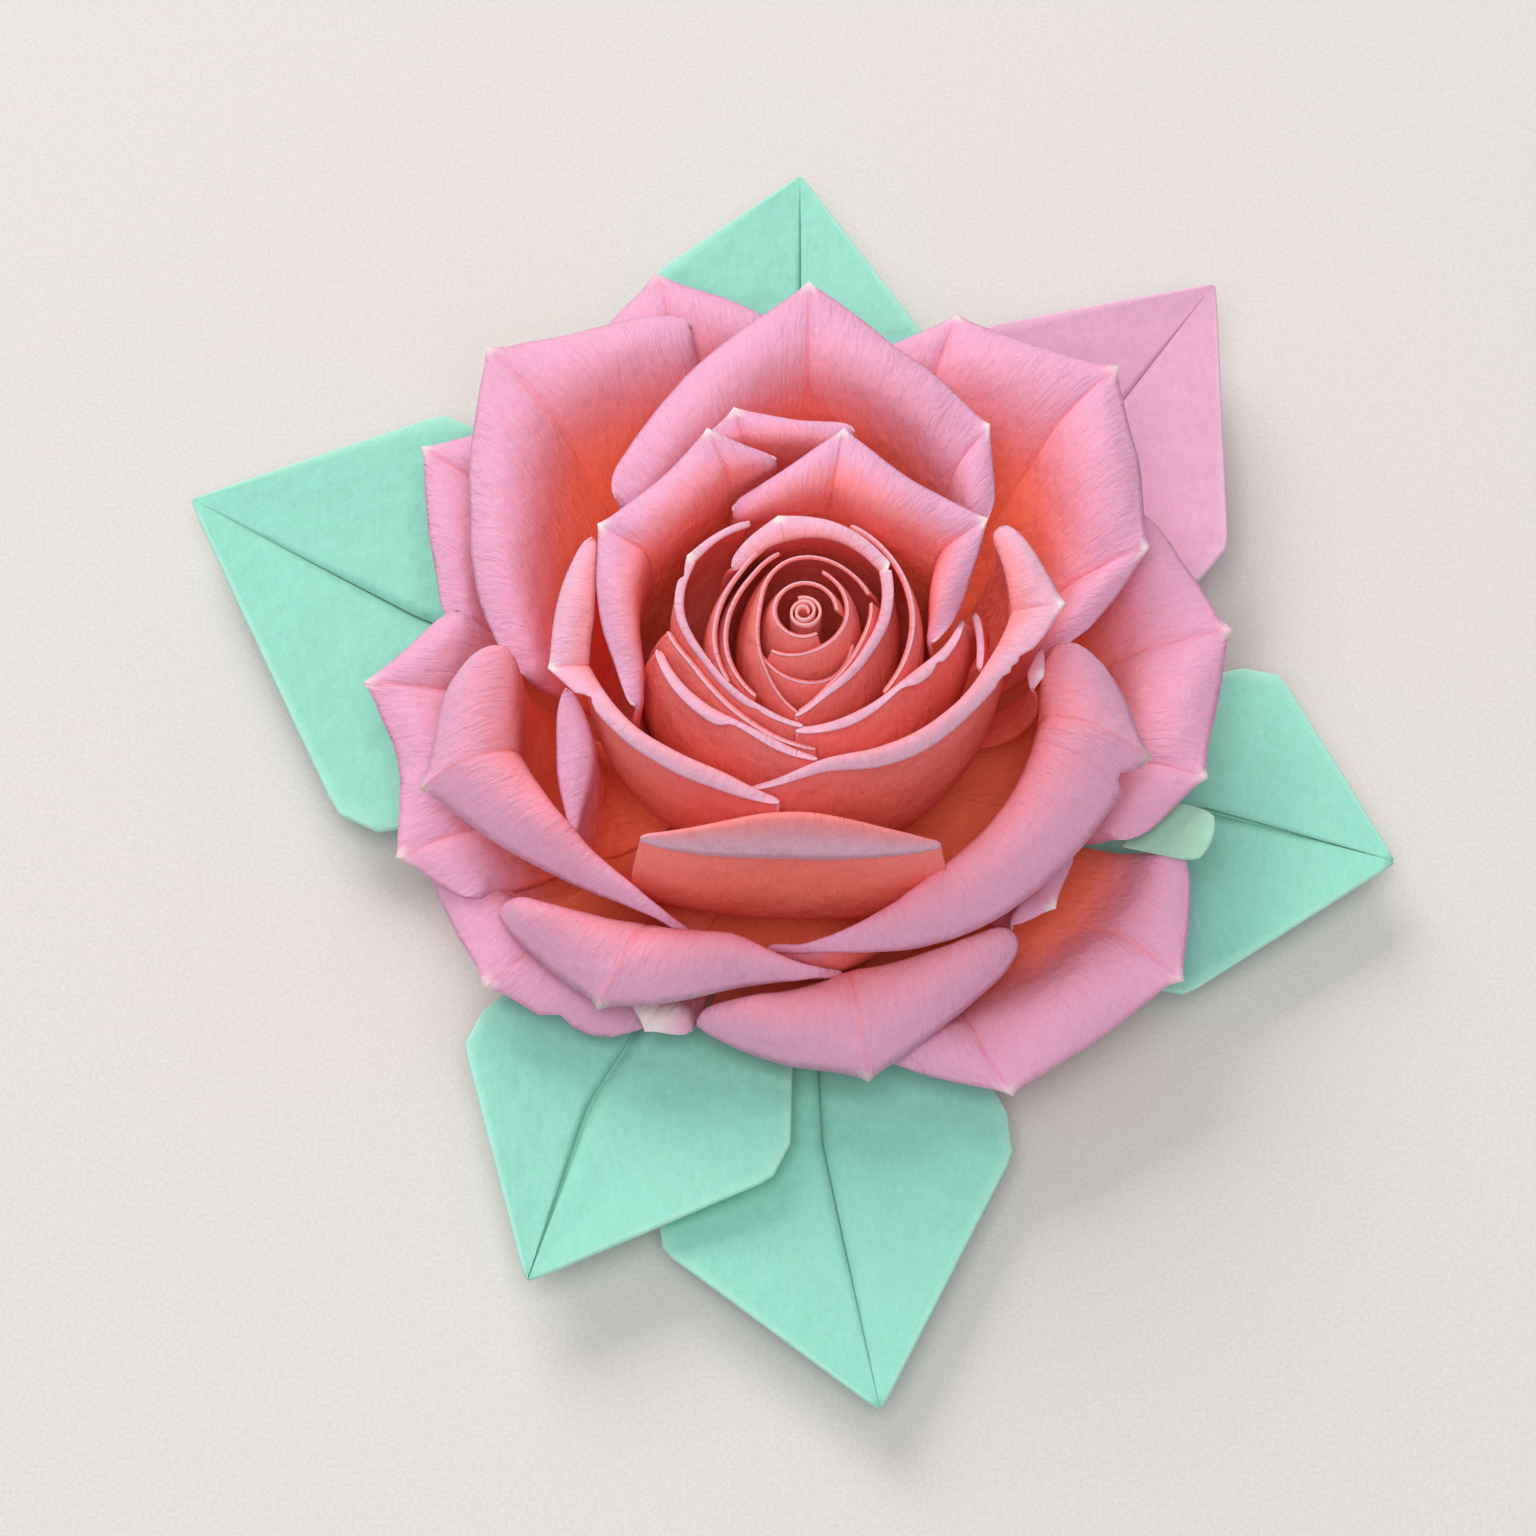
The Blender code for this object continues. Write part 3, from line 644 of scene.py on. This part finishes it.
LEAST_LIP = 0.25
BLUSH_START = 0.25      # the blush thins out from here on the lip
# The deep colour below is partly dye and partly painted glow of the crevices.
DEPTH_START = 0.8       # the deep colour starts here on the lip
DEPTH_FULL = 0.33       # and is full here, as a share of the wall
PAINTED_CREASE_SHADE = 0.25          # share of the blush painted over along a fold as crease shade


def sheet_object(name, columns, card, pulp, soft, lip_rows=0, pinches=()):
    """A flat grid bent so that its columns run through the given points.

    The blush covers the lip and fades over the soft mm below it. A column that stands 0 mm
    from a fold is creased: the shading breaks, and a darker coral line of painted crease
    shade runs down it, as some of its blush gives way to the deep colour. The pinches are
    the columns' distances from their folds, and near a fold the tip is bare.
    """
    bare = BARE.get(name.removesuffix("_card"), BARE_TIP)
    across = len(columns) - 1
    along = len(columns[0]) - 1
    bm = bmesh.new()
    bmesh.ops.create_grid(bm, x_segments=across, y_segments=along, size=0.5)
    place_layer = bm.verts.layers.float_vector.new("card_place")
    tint_layer = bm.verts.layers.float_vector.new("card_tint")
    ways = [place_on_card(column) for column in columns]
    middle = ways[across // 2][0]
    run = [0.0]
    for left, right in zip(columns, columns[1:]):
        run.append(run[-1] + (right[-1] - left[-1]).length / MM)
    column_of = {}
    for vertex in bm.verts:
        column = round((vertex.co.x + 0.5) * across)
        row = round((vertex.co.y + 0.5) * along)
        column_of[vertex] = column
        vertex.co = columns[column][row]
        way = ways[column][row]
        lip = max(ways[column][along - lip_rows], LEAST_LIP)
        blush = 1 - fade(way, BLUSH_START * lip, lip + soft)
        # How much of the deep colour, dye and painted glow, a point gets.
        depth = fade(way, DEPTH_START * lip, lip + DEPTH_FULL * (middle - lip))
        vertex[place_layer] = (run[column], way, 0.0)
        rubbed = 0.0
        # Painted crease shade: down a fold column some of the blush gives way to the deep colour,
        # which draws a darker coral line.
        if pinches and pinches[column] == 0.0:
            cracked = PAINTED_CREASE_SHADE * fade(way, 0.5, 2.0)
            blush -= cracked * blush
            depth += cracked * (1 - depth)
        if pinches:
            near_tip = 1 - fade(way, 0.4 * bare, 2 * bare)
            rubbed = math.exp(-(pinches[column] / bare) ** 2) * near_tip
        vertex[tint_layer] = (blush, depth, rubbed)
    for edge in bm.edges:
        start, end = (column_of[vertex] for vertex in edge.verts)
        if pinches and start == end and pinches[start] == 0.0:
            edge.smooth = False
    mesh = bpy.data.meshes.new(name)
    bm.to_mesh(mesh)
    bm.free()
    mesh.shade_smooth()
    mesh.materials.append(card)
    mesh.materials.append(pulp)
    sheet = bpy.data.objects.new(name, mesh)
    bpy.context.scene.collection.objects.link(sheet)
    solid = sheet.modifiers.new("card", "SOLIDIFY")
    solid.thickness = PAPER * MM
    solid.offset = 0.0
    solid.material_offset_rim = 1
    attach(sheet, "root")
    return sheet


print("core top at", CORE_TOP, "mm and lowest foot at", LOWEST_FOOT, "mm")

# %% Glue up the petals
CARDS = {"coral": CORAL_CARD, "pink": PINK_CARD}
for order, (name, card, kind_name, belly, rise, corners) in enumerate(PETALS, start=1):
    stations = rim_stations(KINDS[kind_name], corners, FOLDS.get(name, ()))
    columns = [bend_column(order, name, kind_name, belly, rise, station) for station in stations]
    petal = sheet_object(name + "_card", columns, CARDS[card],
                         CORAL_PULP if kind_name == "heart" else PINK_PULP,
                         BLUSH[kind_name], LIP_ROWS, [station[3] for station in stations])
    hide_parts(name)
    print(petal.name, len(columns), "columns")

# %% [markdown]
# ## The roll at the heart
#
# The first thing a maker does is to roll a narrow strip round a needle. From above it
# shows as a tight spiral of cut edge. The strip is one grid again, bent round the axis
# for a little over two turns, and its top edge dips and rises by a few tenths of a
# millimetre where the strip was not cut quite straight.

# %% Centre roll
ROLL_HEIGHT = 20.0
ROLL_INNER_RADIUS = 0.5
ROLL_OUTER_RADIUS = 2.1
ROLL_TURNS = 2.3
ROLL_COLUMNS = 150
ROLL_ROWS = 24
ROLL_LEAN = 1.2         # mm that the top edge falls over one length of the strip
ROLL_DIP = 0.15
ROLL_OUT_OF_ROUND = 0.05

roll_columns = []
for step in range(ROLL_COLUMNS + 1):
    share = step / ROLL_COLUMNS
    radius = mix(ROLL_INNER_RADIUS, ROLL_OUTER_RADIUS, share)
    top = CORE_TOP + ROLL_HEIGHT - ROLL_LEAN * abs(share - 0.4) + ROLL_DIP * math.sin(17 * share)
    squeeze = 1 + ROLL_OUT_OF_ROUND * math.sin(2 * math.pi * ROLL_TURNS / 2 * share)
    roll_columns.append([polar(360 * ROLL_TURNS * share, radius * squeeze,
                               mix(CORE_TOP + GAP, top, row / ROLL_ROWS))
                         for row in range(ROLL_ROWS + 1)])
roll = sheet_object("centre_roll_card", roll_columns, CORAL_CARD, CORAL_PULP, -0.1)
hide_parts("centre_roll")
print("roll:", ROLL_TURNS, "turns,", round(2 * ROLL_OUTER_RADIUS, 1), "mm across")

# %% [markdown]
# ## Mint card for the leaves
#
# The leaves are folded from evenly dyed card. Folding cracks the dye, so the folded edges
# are a little paler, and the cut edges along the slit show the pulp. The material reads
# the same attribute as the petals do, where the blush now stands for a worn fold.

# %% Leaf card
def leaf_card(name, body, worn, shade):
    """Evenly dyed card with paler folds and a slow cloud of a second tone."""
    material, tree = new_material(name)
    place = add_node(tree, "ShaderNodeAttribute", {"attribute_name": "card_place"})
    tint = add_node(tree, "ShaderNodeAttribute", {"attribute_name": "card_tint"})
    split = add_node(tree, "ShaderNodeSeparateXYZ", {}, {"Vector": tint.outputs["Vector"]})
    streak, fibre, normal = add_grain(tree, place.outputs["Vector"], streak_height=0.0,
                                      fibre_height=0.05, crumple_height=0.6)
    cloud = add_node(tree, "ShaderNodeMapRange",
                     {"From Min": 0.35, "From Max": 0.65, "To Min": 0.0, "To Max": 0.35},
                     {"Value": streak})
    body_tone = add_node(tree, "ShaderNodeMix",
                         {"data_type": "RGBA", 6: linear(body), 7: linear(shade)},
                         {0: cloud.outputs["Result"]})
    folded = add_node(tree, "ShaderNodeMix", {"data_type": "RGBA", 7: linear(worn)},
                      {0: split.outputs["X"], 6: body_tone.outputs[2]})
    speck = add_node(tree, "ShaderNodeMapRange", SPECKS, {"Value": fibre})
    mottled = add_node(tree, "ShaderNodeVectorMath", {"operation": "SCALE"},
                       {0: folded.outputs[2], "Scale": speck.outputs["Result"]})
    shader = add_node(tree, "ShaderNodeBsdfPrincipled",
                      {"Roughness": 0.75, "IOR": CARD_IOR, "Metallic": 0.0,
                       "Subsurface Weight": 0.08, "Subsurface Radius": (0.4, 1.0, 0.7),
                       "Subsurface Scale": 0.0008},
                      {"Base Color": mottled.outputs["Vector"], "Normal": normal})
    add_node(tree, "ShaderNodeOutputMaterial", {}, {"Surface": shader.outputs["BSDF"]})
    return material


MINT_CARD = leaf_card("mint_dyed_card", body="#95DDCA", worn="#BDEEDF", shade="#86D0BB")
ROSE_CARD = leaf_card("rose_dyed_card", body="#DDA5C6", worn="#EFC9DF", shade="#D596BA")
PALE_CARD = leaf_card("pale_green_card", body="#A3D2BC", worn="#C6E4D6", shade="#97C6AE")
print("leaf cards:", MINT_CARD.name, ROSE_CARD.name, PALE_CARD.name)

# %% [markdown]
# ## Folding a leaf
#
# Each leaf is a square of card whose two sides are folded over its back so that they
# meet along the middle, like the first folds of a paper plane. Cut across, it is one
# strip of card: from the slit in the middle over the flap to the fold, round the fold,
# back underneath to the other fold, and over the second flap to the slit again. So a
# leaf is made as the petals are, from a flat grid whose columns are lines of card that
# run from the base to the tip. The flaps don't quite meet, and the corners at the sides
# are cut off. How wide the slit stands open, how far its edges lift, how far up the leaf
# that happens and how far the slit bends aside there are different on every leaf.

# %% Leaf sizes
LEAVES = [
    ("leaf_top", "mint", 0, (90, 81.5, 9), (106.6, 69, 9), (72.6, 58, 9)),
    ("leaf_left", "mint", 0, (156, 84.7, 8), (192, 57, 8), (133, 64, 9)),
    ("leaf_lower_left", "mint", 1, (245, 76.7, 10), (268, 56, 10), (223, 56, 10)),
    ("leaf_lower", "mint", 0, (276, 84.7, 7), (297, 57, 7), (254, 66, 6.5)),
    ("leaf_right", "mint", 0, (348, 74.2, 8), (371, 60, 8), (323, 56, 8)),
    ("pink_leaf", "rose", 0, (50, 82.9, 12), (69, 61.5, 11), (24, 58.5, 11)),
]
LEAF_INNER_RADIUS = 4.0
LEAF_INNER_WIDTH = 2.0
LEAF_KINK = 0.625
LEAF_FOLD = 0.8
LEAF_CUT = 0.07
# leaf: half width of the slit, lift of its left and its right edge, all in mm, the share
# of the way to the tip at which it stands widest, and its bend to the left in mm
SLITS = {
    "leaf_top": (0.08, 0.10, 0.30, 0.75, 0.0),
    "leaf_left": (0.08, 0.20, 0.50, 0.60, 2.3),
    "leaf_lower_left": (0.35, 1.30, 0.40, 0.68, -3.2),
    "leaf_lower": (0.12, 0.25, 0.60, 0.58, -3.0),
    "leaf_right": (0.15, 0.80, 0.20, 0.66, 3.0),
    "pink_leaf": (0.06, 0.10, 0.20, 0.75, -0.8),
}
print("leaves:", ", ".join(row[0] for row in LEAVES))

# %% Leaf builder
LEAF_ROWS = 48
FLAP_COLUMNS = 14
FOLD_COLUMNS = 6
SHEET_RISE = (LEAF_CARD - PAPER) / 2
SLIT_SPREAD = 0.22      # how far along the leaf the slit stands open, as a share of it
SLIT_CLOSED = 0.25      # how open it stays elsewhere, against its widest place
LIFTED_FLAP = 0.45      # share of the flap's width that lifts with its edge
LEAF_WAVE = 16          # width and height in mm of the leaf's own slow waves
LEAF_WAVER = 0.28
LEAF_POINT = 0.06       # share of the inner end's width that is left at the tip


def leaf_section():
    """Across the card from slit to slit: side, share of the way out, height, card edge."""
    section = []
    for column in range(FLAP_COLUMNS + 1):
        section.append((1, column / FLAP_COLUMNS, SHEET_RISE, 0.0))
    for column in range(1, FOLD_COLUMNS):
        turn = math.pi * column / FOLD_COLUMNS
        section.append((1, 1.0, SHEET_RISE * math.cos(turn), SHEET_RISE * math.sin(turn)))
    for column in range(2 * FLAP_COLUMNS + 1):
        out = 1 - column / FLAP_COLUMNS
        section.append((1 if out >= 0 else -1, abs(out), -SHEET_RISE, 0.0))
    for column in range(FOLD_COLUMNS - 1, 0, -1):
        turn = math.pi * column / FOLD_COLUMNS
        section.append((-1, 1.0, SHEET_RISE * math.cos(turn), SHEET_RISE * math.sin(turn)))
    for column in range(FLAP_COLUMNS, -1, -1):
        section.append((-1, column / FLAP_COLUMNS, SHEET_RISE, 0.0))
    return section


def leaf_line(name, layer, tip, left, right, side, out, height, bulge, is_flap):
    """One line of card from the base to the tip of a leaf."""
    inner = BASE_THICKNESS + (LEAF_CARD + GAP) * layer + GAP + LEAF_CARD / 2
    hinge = polar(tip[0], LEAF_INNER_RADIUS, inner)
    aside = polar(tip[0] + 90, LEAF_INNER_WIDTH / 2, 0.0)
    sideways = aside.normalized()
    point = polar(*tip)
    corner = polar(*(left if side > 0 else right))
    slit, lift_left, lift_right, widest, bend = SLITS[name]
    lift = lift_left if side > 0 else lift_right
    cut_low = (hinge + aside * side).lerp(corner, 1 - LEAF_CUT)
    cut_high = corner.lerp(point, LEAF_CUT)
    low, high = LEAF_KINK * (1 - LEAF_CUT), mix(LEAF_KINK, 1.0, LEAF_CUT)
    points = []
    for row in range(LEAF_ROWS + 1):
        share = row / LEAF_ROWS
        spine = hinge.lerp(point, share)
        spine.z -= LEAF_FOLD * MM * math.sin(math.pi * share)
        if share < low:
            edge = (hinge + aside * side).lerp(cut_low, share / low)
        elif share < high:
            edge = cut_low.lerp(cut_high, (share - low) / (high - low))
        else:
            edge = cut_high.lerp(point + aside * side * LEAF_POINT, (share - high) / (1 - high))
        here = spine.lerp(edge, out)
        open_here = math.exp(-((share - widest) / SLIT_SPREAD) ** 2) * fade(1 - share, 0.0, 0.06)
        bent = min(share / widest, (1 - share) / (1 - widest)) if is_flap else 0.0
        here += sideways * (bend * bent * (1 - out) * MM)
        if is_flap:
            near = 1 - fade(out, 0.0, LIFTED_FLAP)
            here += sideways * side * (slit * (SLIT_CLOSED + open_here) * (1 - out) * MM)
            here.z += lift * near * open_here * MM
        here.z += height * MM
        rounded = bulge * fade(1 - share, -0.02, 0.02)
        here += sideways * side * rounded * MM
        wave = noise.noise_vector(here * (PER_MM / LEAF_WAVE)).z
        here.z += LEAF_WAVER * wave * fade(share, 0.2, 0.5) * MM
        points.append(here)
    return points


def add_leaf(name, card_name, layer, tip, left, right):
    card, pulp = (MINT_CARD, MINT_PULP) if card_name == "mint" else (ROSE_CARD, PINK_PULP)
    section = leaf_section()
    columns = [leaf_line(name, layer, tip, left, right, side, out, height, bulge, height > 0)
               for side, out, height, bulge in section]
    leaf = sheet_object(name + "_folded", columns, card, pulp, 0.0)
    tint = leaf.data.attributes["card_tint"].data
    place = leaf.data.attributes["card_place"].data
    for index, vertex in enumerate(leaf.data.vertices):
        column = index % len(columns)
        side, out, height, bulge = section[column]
        worn = 0.55 if bulge else 0.35 * fade(out, 0.97, 1.0) if height > 0 else 0.0
        tint[index].vector = (worn, 0.0, 0.0)
        place[index].vector = vertex.co / MM
    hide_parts(name)
    return leaf


for row in LEAVES:
    leaf = add_leaf(*row)
    print(leaf.name, "reaches", round(row[3][1], 1), "mm from the axis")

# %% [markdown]
# ## The little tab
#
# At the lower right a scrap of pale green card sticks out from under a petal, with a
# round cut end. It is a flat grid drawn out to a short strip with round outer corners,
# and it is tilted to lie on the petal's corner.

# %% Tab
TAB_RADIUS = 3.6
TAB_PLACE = (340.5, 48.8, 19.3 - CORE_TOP)
TAB_TILT = 14.0
TAB_TAIL = 1.9          # the tail's length against the round end's radius
TAB_ROUNDNESS = 0.36    # 0 would be a square end, and 0.5 a full circle
TAB_COLUMNS = 24


def tab_point(column, row):
    """A point of the tab, where a runs along it and b across it from -1 to 1."""
    a = 2 * column / TAB_COLUMNS - 1
    b = 2 * row / TAB_COLUMNS - 1
    direction, radius, height = TAB_PLACE
    centre = polar(direction, radius, CORE_TOP + height)
    outwards = polar(direction, math.cos(math.radians(TAB_TILT)), math.sin(math.radians(TAB_TILT)))
    sideways = polar(direction + 90, 1.0, 0.0)
    if a < 0:
        return centre + TAB_RADIUS * (outwards * a * TAB_TAIL + sideways * b)
    return centre + TAB_RADIUS * (outwards * a * math.sqrt(1 - TAB_ROUNDNESS * b * b)
                                  + sideways * b * math.sqrt(1 - TAB_ROUNDNESS * a * a))


tab_columns = [[tab_point(column, row) for row in range(TAB_COLUMNS + 1)]
               for column in range(TAB_COLUMNS + 1)]
tab = sheet_object("leaf_tab_card", tab_columns, PALE_CARD, MINT_PULP, 0.0)
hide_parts("leaf_tab")
print("tab:", 2 * TAB_RADIUS, "mm across")

# %% [markdown]
# ## Base and core
#
# The base disc and the rolled core are the right shape already, so they stay as they
# came from the imported model and only get their card. The disc is the leaves' mint, and
# the core is a tight roll of card, a little browner than the pulp. Both stay in the scene,
# mostly out of sight.

# %% Base and core
BASE_CARD = plain_card("mint_base_card", "#8FD9C8", 0.78, 0.04)
CORE_CARD = plain_card("rolled_core_card", "#D08C7C", 0.85, 0.05)
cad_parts["base_disc"].material_slots[0].material = BASE_CARD
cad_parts["core_roll"].material_slots[0].material = CORE_CARD
print("base and core keep their CAD shape")

# %% [markdown]
# ## Floor, light and camera
#
# The flower lies on a plain pale floor. Behind it and a little to the left stands one
# large soft lamp, low enough for the bud to throw its shade forward over the front
# petals and leaves. A weaker one over the camera looks into the bud, and a faint world
# light fills in, as white walls would. The camera looks down at 66 degrees through a
# long lens from half a metre away, which is the angle of the photograph.

# %% Floor
FLOOR_PAINT = plain_card("matt_floor_paint", "#DDD8D6", 0.9, 0.02, 0.0)
bm = bmesh.new()
bmesh.ops.create_grid(bm, x_segments=4, y_segments=4, size=2.0)
floor_mesh = bpy.data.meshes.new("floor")
bm.to_mesh(floor_mesh)
bm.free()
floor_mesh.materials.append(FLOOR_PAINT)
floor = bpy.data.objects.new("floor", floor_mesh)
bpy.context.scene.collection.objects.link(floor)
floor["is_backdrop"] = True

# %% Light
def add_lamp(name, size, watts, colour, azimuth, elevation, distance):
    """A square soft lamp that looks at the middle of the flower."""
    lamp = bpy.data.lights.new(name, "AREA")
    lamp.shape = "SQUARE"
    lamp.size = size
    lamp.energy = watts
    lamp.color = linear(colour)[:3]
    lamp_object = bpy.data.objects.new(name, lamp)
    bpy.context.scene.collection.objects.link(lamp_object)
    angle, height = math.radians(azimuth), math.radians(elevation)
    away = Vector((math.cos(angle) * math.cos(height), math.sin(angle) * math.cos(height),
                   math.sin(height)))
    lamp_object.location = away * distance + Vector((0, 0, 0.025))
    lamp_object.rotation_euler = away.to_track_quat("Z", "Y").to_euler()
    return lamp_object


WALLS_GIVE = 0.3
WALLS_SEEN = 0.9
add_lamp("window_lamp", size=1.0, watts=19.0, colour="#FFFAF4", azimuth=116, elevation=38,
         distance=1.7)
add_lamp("room_lamp", size=1.0, watts=16.0, colour="#FFFFFF", azimuth=262, elevation=72,
         distance=1.7)
world = bpy.data.worlds.new("studio")
bpy.context.scene.world = world
world.use_nodes = True
world.node_tree.nodes.clear()
path = add_node(world.node_tree, "ShaderNodeLightPath")
mirrored = add_node(world.node_tree, "ShaderNodeMath", {"operation": "MAXIMUM"},
                    {0: path.outputs["Is Glossy Ray"], 1: path.outputs["Is Transmission Ray"]})
seen = add_node(world.node_tree, "ShaderNodeMath", {"operation": "MAXIMUM"},
                {0: path.outputs["Is Camera Ray"], 1: mirrored.outputs["Value"]})
strength = add_node(world.node_tree, "ShaderNodeMapRange",
                    {"To Min": WALLS_GIVE, "To Max": WALLS_SEEN}, {"Value": seen.outputs["Value"]})
glow = add_node(world.node_tree, "ShaderNodeBackground", {"Color": (1.0, 1.0, 1.0, 1.0)},
                {"Strength": strength.outputs["Result"]})
add_node(world.node_tree, "ShaderNodeOutputWorld", {}, {"Surface": glow.outputs["Background"]})
bpy.context.scene.view_settings.view_transform = "Standard"

# %% Camera
CAMERA_PLACE = Vector((-4.2, -234.04, 527.45)) * MM
CAMERA_TARGET = Vector((-4.2, -10.34, 25.0)) * MM
camera = bpy.data.cameras.new("camera")
camera.sensor_width = 36.0
camera.lens = 107.4
camera_object = bpy.data.objects.new("camera", camera)
bpy.context.scene.collection.objects.link(camera_object)
camera_object.location = CAMERA_PLACE
camera_object.rotation_euler = (CAMERA_PLACE - CAMERA_TARGET).to_track_quat("Z", "Y").to_euler()
bpy.context.scene.camera = camera_object
print("camera is", round((CAMERA_PLACE - CAMERA_TARGET).length, 3), "m away")

# %% [markdown]
# ## Last look
#
# The script prints the size of the box of what it made and that of the imported
# model's box, so that the two stand side by side.

# %% Sizes and finish
VISUAL_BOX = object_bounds()
for label, (low, high) in (("packed model", CAD_BOX), ("this scene", VISUAL_BOX)):
    print(label, [round(value / MM, 1) for value in high - low], "mm")
